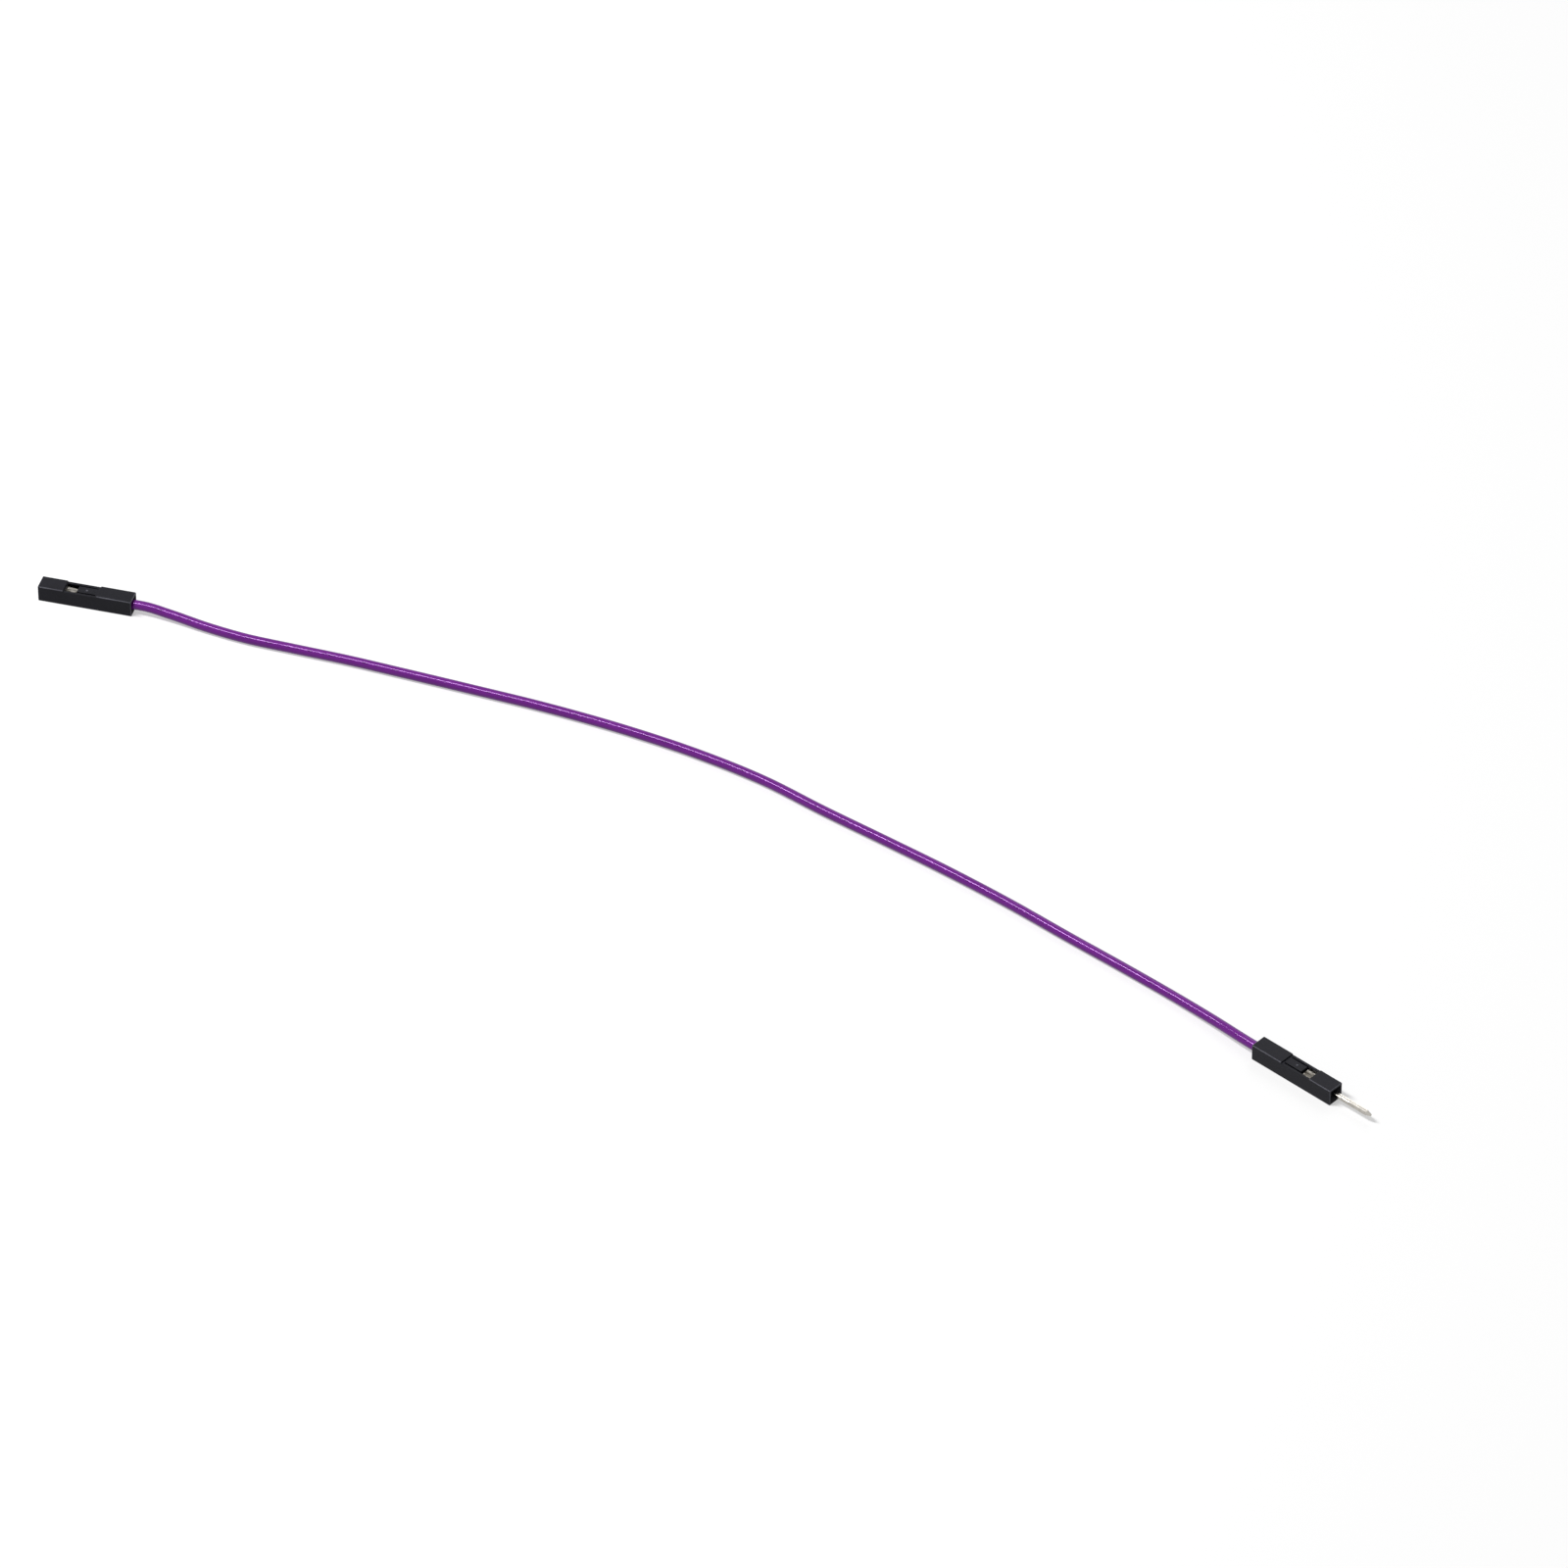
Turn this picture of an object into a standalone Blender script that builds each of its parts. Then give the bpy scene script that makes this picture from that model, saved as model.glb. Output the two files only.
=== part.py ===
"""Breadboard jumper wire: an insulated wire with a socket connector on one end and a pin connector on the
other.

Metres, +Z up. The wire lies on the plane Z = 0. The origin is on that plane, under the middle of the box
round the two connectors, and +X runs from the socket end to the pin end.
"""

import math

import bmesh
import bpy
import numpy as np
from mathutils import Matrix, Vector

MM = 0.001

# Housing: one moulding, used at both ends. Distances along it are from its mating face.
PITCH = 2.54 * MM
HOUSING_LENGTH = 14.0 * MM
HOUSING_EDGE_RADIUS = 0.07 * MM
CAVITY_START = 1.45 * MM
CAVITY_STEP = 0.15 * MM
LATCH_WALL = 0.52 * MM
LEAD_IN_RIM = 0.24 * MM
LEAD_IN_DEPTH = 0.80 * MM
WINDOW_START = 3.80 * MM
WINDOW_LENGTH = 1.90 * MM
TONGUE_LENGTH = 3.10 * MM
TONGUE_ROOT = 0.30 * MM
SLOT_WIDTH = 0.27 * MM
LATCH_RECESS = 0.20 * MM
BARB_DEPTH = 0.28 * MM
BARB_LENGTH = 1.10 * MM
BARB_INSET = 0.15 * MM
DIMPLE_DIAMETER = 0.36 * MM
DIMPLE_DEPTH = 0.08 * MM
DIMPLE_FROM_TIP = 1.30 * MM
REAR_CHAMFER = 0.16 * MM

# Terminals: folded from one thickness of sheet
SHEET = 0.15 * MM
SEAM = 0.07 * MM
NECK_WALL = 0.70 * MM
CONDUCTOR_CRIMP_LENGTH = 2.10 * MM
WEB_LENGTH = 0.65 * MM
INSULATION_CRIMP_LENGTH = 2.00 * MM
CRIMP_TO_REAR = 1.30 * MM
CRIMP_SEAM_ANGLE = 20
CRADLE_ANGLES = (200, 340)
ARC_STEP = 20

# Contact leaves of the socket
LEAF_SHEET = 0.10 * MM
LEAF_WIDTH = 0.90 * MM
LEAF_PRELOAD = 0.04 * MM
LEAF_TO_BODY_END = 0.70 * MM
LEAF_ROOT_SHARE = 0.12
LEAF_CONTACT_SHARES = (0.55, 0.70)

# Pin
PIN_WIDTH = 0.64 * MM
PIN_EXPOSED = 6.30 * MM
PIN_TIP_LENGTH = 0.90 * MM
PIN_TIP_SHARE = 0.42
PIN_EDGE_RADIUS = 0.07 * MM
SHOULDER_LENGTH = 1.10 * MM

# Wire
INSULATION_DIAMETER = 1.45 * MM
CONDUCTOR_DIAMETER = 0.60 * MM
STRIP_LENGTH = 2.70 * MM
ROUTE_SPACING = 3.30 * MM
LEAD_STRAIGHT = 1.50 * MM

# Clearances
CLEARANCE = 0.03 * MM
BORE_CLEARANCE = 0.075 * MM
FLOOR_CLEARANCE = 0.015 * MM
CRIMP_CLEARANCE = 0.045 * MM
TERMINAL_CLEARANCE = 0.05 * MM
BODY_SIDE_CLEARANCE = 0.10 * MM
STOP_CLEARANCE = 0.17 * MM
LATCH_CLEARANCE = 0.15 * MM
PIN_HOLE_CLEARANCE = 0.18 * MM
CUT_PAST = 0.20 * MM
MERGE_DISTANCE = 0.001 * MM

# Where the wire leaves each housing, which way it runs there, and its free route between them
FEMALE_EXIT = (-95.05 * MM, 1.95 * MM)
FEMALE_TURN = 15.7
MALE_EXIT = (88.98 * MM, 1.15 * MM)
MALE_TURN = -11.9
REST_HEIGHT = INSULATION_DIAMETER / 2 + FLOOR_CLEARANCE
ROUTE = [
    (-89.4 * MM, 3.0 * MM, 1.04 * MM),
    (-83.8 * MM, 3.5 * MM, 0.80 * MM),
    (-78.2 * MM, 4.2 * MM, REST_HEIGHT),
    (-70.4 * MM, 5.9 * MM, REST_HEIGHT),
    (-62.6 * MM, 7.7 * MM, REST_HEIGHT),
    (-54.4 * MM, 9.3 * MM, REST_HEIGHT),
    (-43.8 * MM, 11.3 * MM, REST_HEIGHT),
    (-32.6 * MM, 13.3 * MM, REST_HEIGHT),
    (-21.0 * MM, 14.8 * MM, REST_HEIGHT),
    (-9.0 * MM, 15.6 * MM, REST_HEIGHT),
    (2.0 * MM, 15.4 * MM, REST_HEIGHT),
    (12.4 * MM, 14.1 * MM, REST_HEIGHT),
    (23.1 * MM, 13.0 * MM, REST_HEIGHT),
    (34.0 * MM, 11.8 * MM, REST_HEIGHT),
    (45.0 * MM, 10.2 * MM, REST_HEIGHT),
    (55.4 * MM, 8.3 * MM, REST_HEIGHT),
    (65.8 * MM, 6.5 * MM, REST_HEIGHT),
    (74.6 * MM, 4.8 * MM, 0.78 * MM),
    (82.0 * MM, 3.0 * MM, 1.02 * MM),
]

# Colours
BLACK_PLASTIC = (0.012, 0.012, 0.015)
TINNED_METAL = (0.78, 0.77, 0.74)
PURPLE_PVC = (0.13, 0.018, 0.26)
COPPER = (0.72, 0.36, 0.22)

# Sizes that follow from the ones above
AXIS_HEIGHT = PITCH / 2
WINDOW_END = WINDOW_START + WINDOW_LENGTH
RECESS_END = WINDOW_END + TONGUE_LENGTH
CAVITY_WIDTH = INSULATION_DIAMETER + 2 * (CLEARANCE + SHEET + CRIMP_CLEARANCE)
CAVITY_TOP = PITCH / 2 - LATCH_WALL
OPENING_WIDTH = CAVITY_WIDTH - 2 * CLEARANCE
TONGUE_WIDTH = OPENING_WIDTH - 2 * SLOT_WIDTH
PIN_HOLE_WIDTH = PIN_WIDTH + 2 * PIN_HOLE_CLEARANCE
BODY_START = CAVITY_START + STOP_CLEARANCE
BODY_END = WINDOW_END - LATCH_CLEARANCE
BODY_WIDTH = CAVITY_WIDTH - 2 * BODY_SIDE_CLEARANCE
BODY_TOP = CAVITY_TOP - TERMINAL_CLEARANCE
BODY_FLOOR = -CAVITY_WIDTH / 2 + TERMINAL_CLEARANCE
BODY_FOLD = ((BODY_WIDTH - SHEET) / 2, BODY_FLOOR + SHEET / 2, BODY_TOP - SHEET / 2)
INSULATION_CRIMP_END = HOUSING_LENGTH - CRIMP_TO_REAR
WEB_END = INSULATION_CRIMP_END - INSULATION_CRIMP_LENGTH
CONDUCTOR_CRIMP_END = WEB_END - WEB_LENGTH
NECK_END = CONDUCTOR_CRIMP_END - CONDUCTOR_CRIMP_LENGTH
INSULATION_START = WEB_END - CLEARANCE
BORE_DIAMETER = CONDUCTOR_DIAMETER + 2 * BORE_CLEARANCE
CONDUCTOR_CRIMP_RADIUS = CONDUCTOR_DIAMETER / 2 + CLEARANCE + SHEET / 2
INSULATION_CRIMP_RADIUS = INSULATION_DIAMETER / 2 + CLEARANCE + SHEET / 2


def clear_scene():
    for old in list(bpy.data.objects):
        bpy.data.objects.remove(old)


def new_collection(name):
    made = bpy.data.collections.new(name)
    bpy.context.scene.collection.children.link(made)
    return made


def new_material(name, colour, roughness, metallic=0.0):
    made = bpy.data.materials.new(name)
    made.use_nodes = True
    shader = made.node_tree.nodes["Principled BSDF"]
    shader.inputs["Base Color"].default_value = (*colour, 1.0)
    shader.inputs["Roughness"].default_value = roughness
    shader.inputs["Metallic"].default_value = metallic
    return made


def new_object(name, data, parent=None, material=None):
    """A visible piece, placed by its parent."""
    made = bpy.data.objects.new(name, data)
    PARTS.objects.link(made)
    made.parent = parent
    if material:
        data.materials.append(material)
    return made


def helper(obj):
    """Takes an object out of the model, as a cutter or a shape to be joined."""
    PARTS.objects.unlink(obj)
    CUTTERS.objects.link(obj)
    obj.hide_render = True
    obj.display_type = "WIRE"
    return obj


def connector_frame(name, place, turn):
    """An empty on a connector's axis at its mating face, with +X towards the wire and +Z out of the latch."""
    made = bpy.data.objects.new(name, None)
    PARTS.objects.link(made)
    made.location = place
    made.rotation_euler = (0, 0, math.radians(turn))
    return made


def mesh_from(name, bm):
    made = bpy.data.meshes.new(name)
    bm.to_mesh(made)
    bm.free()
    return made


def box_mesh(low, high):
    """A new bmesh that holds a box between two corners."""
    low, high = Vector(low), Vector(high)
    bm = bmesh.new()
    size = Matrix.Diagonal((*(high - low), 1))
    bmesh.ops.create_cube(bm, size=1, matrix=Matrix.Translation((low + high) / 2) @ size)
    return bm


def box(name, low, high, parent, material=None):
    return new_object(name, mesh_from(name, box_mesh(low, high)), parent, material)


def carried_outline(name, outline, reach, parent):
    """A flat outline of points, carried along a vector to make a solid."""
    bm = bmesh.new()
    face = bm.faces.new([bm.verts.new(point) for point in outline])
    carried = bmesh.ops.extrude_face_region(bm, geom=[face])["geom"]
    points = [item for item in carried if isinstance(item, bmesh.types.BMVert)]
    bmesh.ops.translate(bm, vec=reach, verts=points)
    bmesh.ops.recalc_face_normals(bm, faces=bm.faces)
    return new_object(name, mesh_from(name, bm), parent)


def square_taper(name, start, end, start_width, end_width, parent):
    """A square frustum along X."""
    bm = bmesh.new()
    along = Matrix.Translation(((start + end) / 2, 0, 0)) @ Matrix.Rotation(math.pi / 2, 4, "Y")
    bmesh.ops.create_cone(
        bm,
        cap_ends=True,
        segments=4,
        radius1=start_width / math.sqrt(2),
        radius2=end_width / math.sqrt(2),
        depth=end - start,
        matrix=along @ Matrix.Rotation(math.pi / 4, 4, "Z"),
    )
    return new_object(name, mesh_from(name, bm), parent)


def combine(target, other, operation):
    """Cuts other from target, or joins it on."""
    made = target.modifiers.new(other.name, "BOOLEAN")
    made.operation = operation
    made.solver = "EXACT"
    made.object = helper(other)


def round_edges(obj, width, segments):
    made = obj.modifiers.new("round_edges", "BEVEL")
    made.width = width
    made.segments = segments
    made.limit_method = "ANGLE"


# Housing


def barb_under_tongue(name, parent):
    """The wedge under the tongue's free end, which stands behind the terminal's body and holds it in."""
    start = WINDOW_END + CLEARANCE
    half_width = TONGUE_WIDTH / 2 - BARB_INSET
    lap = (LATCH_WALL - LATCH_RECESS) / 2
    low = (start, -half_width, CAVITY_TOP - BARB_DEPTH)
    high = (start + BARB_LENGTH, half_width, CAVITY_TOP + lap)
    bm = box_mesh(low, high)
    for point in bm.verts:
        if point.co.x > start + BARB_LENGTH / 2 and point.co.z < CAVITY_TOP:
            point.co.z = CAVITY_TOP + lap / 2
    return new_object(name, mesh_from(name, bm), parent)


def dimple_cutter(name, tongue_face, parent):
    """The small round mark on the tongue."""
    bm = bmesh.new()
    bmesh.ops.create_cone(
        bm,
        cap_ends=True,
        segments=12,
        radius1=DIMPLE_DIAMETER / 2,
        radius2=DIMPLE_DIAMETER / 2,
        depth=2 * DIMPLE_DEPTH,
        matrix=Matrix.Translation((WINDOW_END + DIMPLE_FROM_TIP, 0, tongue_face)),
    )
    return new_object(name, mesh_from(name, bm), parent)


def cavity_cutter(name, parent):
    """The room for the terminal, low under the latch and square behind it, out through the rear."""
    inner = CAVITY_WIDTH / 2
    step = RECESS_END + CAVITY_STEP
    behind = HOUSING_LENGTH + CUT_PAST
    outline = [
        (CAVITY_START, -inner, -inner),
        (behind, -inner, -inner),
        (behind, -inner, inner),
        (step, -inner, inner),
        (step, -inner, CAVITY_TOP),
        (CAVITY_START, -inner, CAVITY_TOP),
    ]
    return carried_outline(name, outline, (0, CAVITY_WIDTH, 0), parent)


def window_cutter(name, parent):
    """The window and the two slots beside the tongue."""
    opening = OPENING_WIDTH / 2
    tongue = TONGUE_WIDTH / 2
    start = WINDOW_START + CLEARANCE
    slot_end = RECESS_END - TONGUE_ROOT
    right = [(start, opening, 0), (slot_end, opening, 0), (slot_end, tongue, 0), (WINDOW_END, tongue, 0)]
    outline = right + [(x, -y, z) for x, y, z in reversed(right)]
    return carried_outline(name, outline, (0, 0, PITCH), parent)


def make_housing(name, parent):
    """The square moulding, hollow from its lead-in at the front to the mouth for the wire at the rear."""
    half = PITCH / 2
    hole = PIN_HOLE_WIDTH / 2
    past = CUT_PAST
    tongue_face = half - LATCH_RECESS
    lead_in_width = PITCH - 2 * LEAD_IN_RIM
    lead_in_growth = (lead_in_width - PIN_HOLE_WIDTH) * past / LEAD_IN_DEPTH
    lead_in = (-past, LEAD_IN_DEPTH + past, lead_in_width + lead_in_growth, PIN_HOLE_WIDTH - lead_in_growth)
    mouth_start = HOUSING_LENGTH - REAR_CHAMFER - past
    mouth_width = CAVITY_WIDTH - 2 * past
    mouth_growth = 2 * (REAR_CHAMFER + 2 * past)
    mouth = (mouth_start, HOUSING_LENGTH + past, mouth_width, mouth_width + mouth_growth)

    housing = box(name, (0, -half, -half), (HOUSING_LENGTH, half, half), parent, PLASTIC)
    round_edges(housing, HOUSING_EDGE_RADIUS, segments=2)
    recess = box(f"{name}_recess", (WINDOW_START, -PITCH, tongue_face), (RECESS_END, PITCH, PITCH), parent)
    pin_hole = box(f"{name}_pin_hole", (-past, -hole, -hole), (CAVITY_START + past, hole, hole), parent)
    combine(housing, recess, "DIFFERENCE")
    combine(housing, cavity_cutter(f"{name}_cavity", parent), "DIFFERENCE")
    combine(housing, window_cutter(f"{name}_window", parent), "DIFFERENCE")
    combine(housing, pin_hole, "DIFFERENCE")
    combine(housing, square_taper(f"{name}_lead_in", *lead_in, parent), "DIFFERENCE")
    combine(housing, square_taper(f"{name}_mouth", *mouth, parent), "DIFFERENCE")
    combine(housing, barb_under_tongue(f"{name}_barb", parent), "UNION")
    combine(housing, dimple_cutter(f"{name}_dimple", tongue_face, parent), "DIFFERENCE")


# Terminals


def arc(radius, start, end):
    """Points (y, z) of an arc round the wire's axis, in steps that every arc shares."""
    steps = round((end - start) / ARC_STEP)
    angles = [math.radians(start + ARC_STEP * i) for i in range(steps + 1)]
    return [(radius * math.cos(a), radius * math.sin(a)) for a in angles]


def crimp_arc(radius):
    """A barrel closed round the wire, with its seam at the top."""
    half_seam = CRIMP_SEAM_ANGLE / 2
    return arc(radius, 90 + half_seam, 450 - half_seam)


def cradle_arc(radius):
    """The bottom of a barrel, without its wings."""
    return arc(radius, *CRADLE_ANGLES)


def mirrored(left):
    """An outline from its left half."""
    return left + [(-y, z) for y, z in reversed(left)]


def channel_outline(side, floor, rim):
    """Half of an open channel. The whole has as many points as a cradle."""
    return [(-side, rim), (-side, (rim + floor) / 2), (-side, floor), (-side / 3, floor)]


def square_outline(side, floor, top, rim):
    """The same channel with its walls carried up and folded shut, with the seam at the top."""
    return mirrored([(-SEAM / 2, top), (-side, top), *channel_outline(side, floor, rim)])


def folded_sheet(name, strips, parent, material=None, thickness=SHEET):
    """Sheet metal whose middle runs through strips that meet at shared outlines.

    Each strip is a row of stations: a place along X and the outline of (y, z) points there.
    """
    bm = bmesh.new()
    for stations in strips:
        rows = [[bm.verts.new((x, y, z)) for y, z in outline] for x, outline in stations]
        for row, following in zip(rows, rows[1:]):
            for i in range(len(row) - 1):
                bm.faces.new((row[i], row[i + 1], following[i + 1], following[i]))
    bmesh.ops.remove_doubles(bm, verts=bm.verts, dist=MERGE_DISTANCE)
    bmesh.ops.recalc_face_normals(bm, faces=bm.faces)
    made = new_object(name, mesh_from(name, bm), parent, material)
    wall = made.modifiers.new("sheet", "SOLIDIFY")
    wall.thickness = thickness
    wall.offset = 0
    wall.use_even_offset = True
    return made


def folded_terminal(name, front, parent):
    """A terminal folded from one blank: its front, then the body, neck, crimps and web of both kinds.

    The wings stop at the ends of the body and of each crimp, and the floor runs on between them.
    """
    side, floor, top = BODY_FOLD
    rim = floor + NECK_WALL
    body = square_outline(side, floor, top, rim)
    channel = mirrored(channel_outline(side, floor, rim))
    small, large = CONDUCTOR_CRIMP_RADIUS, INSULATION_CRIMP_RADIUS
    body_start = BODY_START + (SHOULDER_LENGTH if front else 0)
    strips = [
        [*front, (body_start, body), (BODY_END, body)],
        [(BODY_END, channel), (NECK_END, cradle_arc(small))],
        [(NECK_END, crimp_arc(small)), (CONDUCTOR_CRIMP_END, crimp_arc(small))],
        [(CONDUCTOR_CRIMP_END, cradle_arc(small)), (WEB_END, cradle_arc(large))],
        [(WEB_END, crimp_arc(large)), (INSULATION_CRIMP_END, crimp_arc(large))],
    ]
    return folded_sheet(name, strips, parent, METAL)


def contact_leaf(name, wall, parent):
    """A spring leaf that folds back from the front of the body's top or floor and bows towards the pin."""
    side = 1 if wall > 0 else -1
    start = BODY_START + CLEARANCE
    length = BODY_END - LEAF_TO_BODY_END - start
    root = wall - side * SHEET / 2
    bow = side * (PIN_WIDTH / 2 - LEAF_PRELOAD + LEAF_SHEET / 2)
    free = wall - side * (SHEET + LEAF_SHEET + CLEARANCE)
    bow_start, bow_end = LEAF_CONTACT_SHARES
    line = [
        (start, root),
        (start + LEAF_ROOT_SHARE * length, root - side * SHEET / 2),
        (start + bow_start * length, bow),
        (start + bow_end * length, bow),
        (start + length, free),
    ]
    stations = [(x, [(-LEAF_WIDTH / 2, z), (LEAF_WIDTH / 2, z)]) for x, z in line]
    return folded_sheet(name, [stations], parent, thickness=LEAF_SHEET)


def make_female_terminal(name, parent):
    """The socket contact: an open square body with two leaves inside it."""
    terminal = folded_terminal(name, [], parent)
    for word, wall in (("top_leaf", BODY_TOP), ("bottom_leaf", BODY_FLOOR)):
        combine(terminal, contact_leaf(f"{name}_{word}", wall, parent), "UNION")


def pin_blade(name, parent):
    """The square pin from its root in the body to its tapered tip."""
    half = PIN_WIDTH / 2
    root = BODY_START + SHOULDER_LENGTH / 2
    bm = box_mesh((PIN_TIP_LENGTH - PIN_EXPOSED, -half, -half), (root, half, half))
    end = min(bm.faces, key=lambda face: face.calc_center_median().x)
    tip = bmesh.ops.extrude_face_region(bm, geom=[end])
    points = [item for item in tip["geom"] if isinstance(item, bmesh.types.BMVert)]
    bmesh.ops.delete(bm, geom=[end], context="FACES")
    bmesh.ops.translate(bm, vec=(-PIN_TIP_LENGTH, 0, 0), verts=points)
    bmesh.ops.scale(bm, vec=(1, PIN_TIP_SHARE, PIN_TIP_SHARE), verts=points)
    made = new_object(name, mesh_from(name, bm), parent)
    round_edges(made, PIN_EDGE_RADIUS, segments=1)
    return made


def make_male_terminal(name, parent):
    """The pin contact: the same body, drawn in at a shoulder round the root of the square pin."""
    fold = PIN_WIDTH / 2 - SHEET
    front = [(BODY_START, square_outline(fold, -fold, fold, 0))]
    terminal = folded_terminal(name, front, parent)
    combine(terminal, pin_blade(f"{name}_pin", parent), "UNION")


# Wire


def smooth_route(points, spacing):
    """Evenly spaced points on a smooth curve through the given ones."""
    points = np.array(points, float)
    steps = np.linalg.norm(np.diff(points, axis=0), axis=1)
    along = np.concatenate([[0], np.cumsum(steps)])
    slopes = np.gradient(points, along, axis=0)
    fine = np.linspace(0, along[-1], 40 * len(points))
    which = np.clip(np.searchsorted(along, fine, side="right") - 1, 0, len(steps) - 1)
    length = steps[which][:, None]
    t = (fine - along[which])[:, None] / length
    curve = (
        (2 * t**3 - 3 * t**2 + 1) * points[which]
        + (t**3 - 2 * t**2 + t) * length * slopes[which]
        + (3 * t**2 - 2 * t**3) * points[which + 1]
        + (t**3 - t**2) * length * slopes[which + 1]
    )
    travelled = np.concatenate([[0], np.cumsum(np.linalg.norm(np.diff(curve, axis=0), axis=1))])
    wanted = np.linspace(0, travelled[-1], round(travelled[-1] / spacing) + 1)
    return [Vector([float(np.interp(w, travelled, curve[:, k])) for k in range(3)]) for w in wanted]


def heading(turn):
    angle = math.radians(turn)
    return Vector((math.cos(angle), math.sin(angle), 0))


def wire_curve(name, points, diameter, capped, material):
    curve = bpy.data.curves.new(name, "CURVE")
    curve.dimensions = "3D"
    curve.bevel_depth = diameter / 2
    curve.bevel_resolution = 2
    curve.use_fill_caps = capped
    spline = curve.splines.new("POLY")
    spline.points.add(len(points) - 1)
    for point, place in zip(spline.points, points):
        point.co = (*place, 1)
    return new_object(name, curve, material=material)


def make_wire():
    """The insulation and, inside it and out past both its ends, the conductor."""
    female, male = heading(FEMALE_TURN), heading(MALE_TURN)
    first = Vector((*FEMALE_EXIT, AXIS_HEIGHT))
    last = Vector((*MALE_EXIT, AXIS_HEIGHT))
    free = [first, first + LEAD_STRAIGHT * female, *ROUTE, last - LEAD_STRAIGHT * male, last]
    held = HOUSING_LENGTH - INSULATION_START
    sleeve = [first - held * female, *smooth_route(free, ROUTE_SPACING), last + held * male]
    core = [sleeve[0] - STRIP_LENGTH * female, *sleeve, sleeve[-1] + STRIP_LENGTH * male]
    insulation = wire_curve("wire_insulation", sleeve, INSULATION_DIAMETER, False, PVC)
    wall = insulation.modifiers.new("wall", "SOLIDIFY")
    wall.thickness = (INSULATION_DIAMETER - BORE_DIAMETER) / 2
    wall.offset = -1
    wire_curve("wire_conductor", core, CONDUCTOR_DIAMETER, True, STRANDS)


clear_scene()
PARTS = new_collection("breadboard_jumper_wire")
CUTTERS = new_collection("cutters")
PLASTIC = new_material("black_moulded_plastic", BLACK_PLASTIC, 0.45)
METAL = new_material("tinned_metal", TINNED_METAL, 0.25, 1.0)
PVC = new_material("purple_pvc", PURPLE_PVC, 0.35)
STRANDS = new_material("copper_strands", COPPER, 0.35, 1.0)

female_face = Vector((*FEMALE_EXIT, AXIS_HEIGHT)) - HOUSING_LENGTH * heading(FEMALE_TURN)
male_face = Vector((*MALE_EXIT, AXIS_HEIGHT)) + HOUSING_LENGTH * heading(MALE_TURN)
female_end = connector_frame("female_end", female_face, FEMALE_TURN)
male_end = connector_frame("male_end", male_face, MALE_TURN + 180)
make_housing("female_housing", female_end)
make_female_terminal("female_terminal", female_end)
make_wire()
make_male_terminal("male_terminal", male_end)
make_housing("male_housing", male_end)
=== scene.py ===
"""Looks of the breadboard jumper wire.

A purple PVC wire with a black socket housing on one end and a black housing with a tin-plated pin on the
other, lying on a white floor.

Metres, +Z up, in the frame of the solids. Each connector is modelled at the origin with its mating face at
X = 0, its wire leaving along +X and its latch up, and is then turned and moved to its place.
"""

import math

import bpy
import numpy as np
from mathutils import Matrix, Vector


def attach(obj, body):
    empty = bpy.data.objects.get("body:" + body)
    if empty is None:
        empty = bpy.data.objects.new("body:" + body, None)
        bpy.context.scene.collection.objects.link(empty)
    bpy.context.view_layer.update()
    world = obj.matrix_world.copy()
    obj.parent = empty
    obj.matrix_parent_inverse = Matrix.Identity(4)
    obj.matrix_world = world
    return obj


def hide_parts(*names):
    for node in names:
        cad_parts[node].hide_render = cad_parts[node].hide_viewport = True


MM = 0.001

# Camera, from the photograph
VIEW_AZIMUTH = 31.06
VIEW_ELEVATION = 40.0
VIEW_DISTANCE = 1.5
VIEW_TARGET = (4.27 * MM, 16.98 * MM, 0)
VIEW_REACH = 50
LENS = 245.8
SENSOR = 36.0

# Wire
INSULATION_DIAMETER = 1.45 * MM
BORE_DIAMETER = 0.75 * MM
STRAND_DIAMETER = 0.19 * MM
STRAND_CIRCLE = 0.19 * MM
STRAND_LAY = 9.0 * MM
STRAND_COUNT = 6
STRIP_LENGTH = 2.70 * MM
LEAD_STRAIGHT = 1.50 * MM
WIRE_LENGTH = 0.193
FEMALE_EXIT = (-95.05 * MM, 1.95 * MM)
FEMALE_TURN = 15.7
MALE_EXIT = (88.98 * MM, 1.15 * MM)
MALE_TURN = -11.9
REST_HEIGHT = 0.74 * MM
ROUTE = [
    (-89.4 * MM, 3.0 * MM, 1.04 * MM),
    (-83.8 * MM, 3.5 * MM, 0.80 * MM),
    (-78.2 * MM, 4.2 * MM, REST_HEIGHT),
    (-70.4 * MM, 5.9 * MM, REST_HEIGHT),
    (-62.6 * MM, 7.7 * MM, REST_HEIGHT),
    (-54.4 * MM, 9.3 * MM, REST_HEIGHT),
    (-43.8 * MM, 11.3 * MM, REST_HEIGHT),
    (-32.6 * MM, 13.3 * MM, REST_HEIGHT),
    (-21.0 * MM, 14.8 * MM, REST_HEIGHT),
    (-9.0 * MM, 15.6 * MM, REST_HEIGHT),
    (2.0 * MM, 15.4 * MM, REST_HEIGHT),
    (12.4 * MM, 14.1 * MM, REST_HEIGHT),
    (23.1 * MM, 13.0 * MM, REST_HEIGHT),
    (34.0 * MM, 11.8 * MM, REST_HEIGHT),
    (45.0 * MM, 10.2 * MM, REST_HEIGHT),
    (55.4 * MM, 8.3 * MM, REST_HEIGHT),
    (65.8 * MM, 6.5 * MM, REST_HEIGHT),
    (74.6 * MM, 4.8 * MM, 0.78 * MM),
    (82.0 * MM, 3.0 * MM, 1.02 * MM),
]

# How finely the wire is drawn
ROUTE_STEPS = 40
JACKET_SPACING = 0.60 * MM
JACKET_SIDES = 32
JACKET_SMOOTH_ANGLE = 40
STRAND_SPACING = 0.90 * MM
STRAND_SIDES = 8

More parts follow.
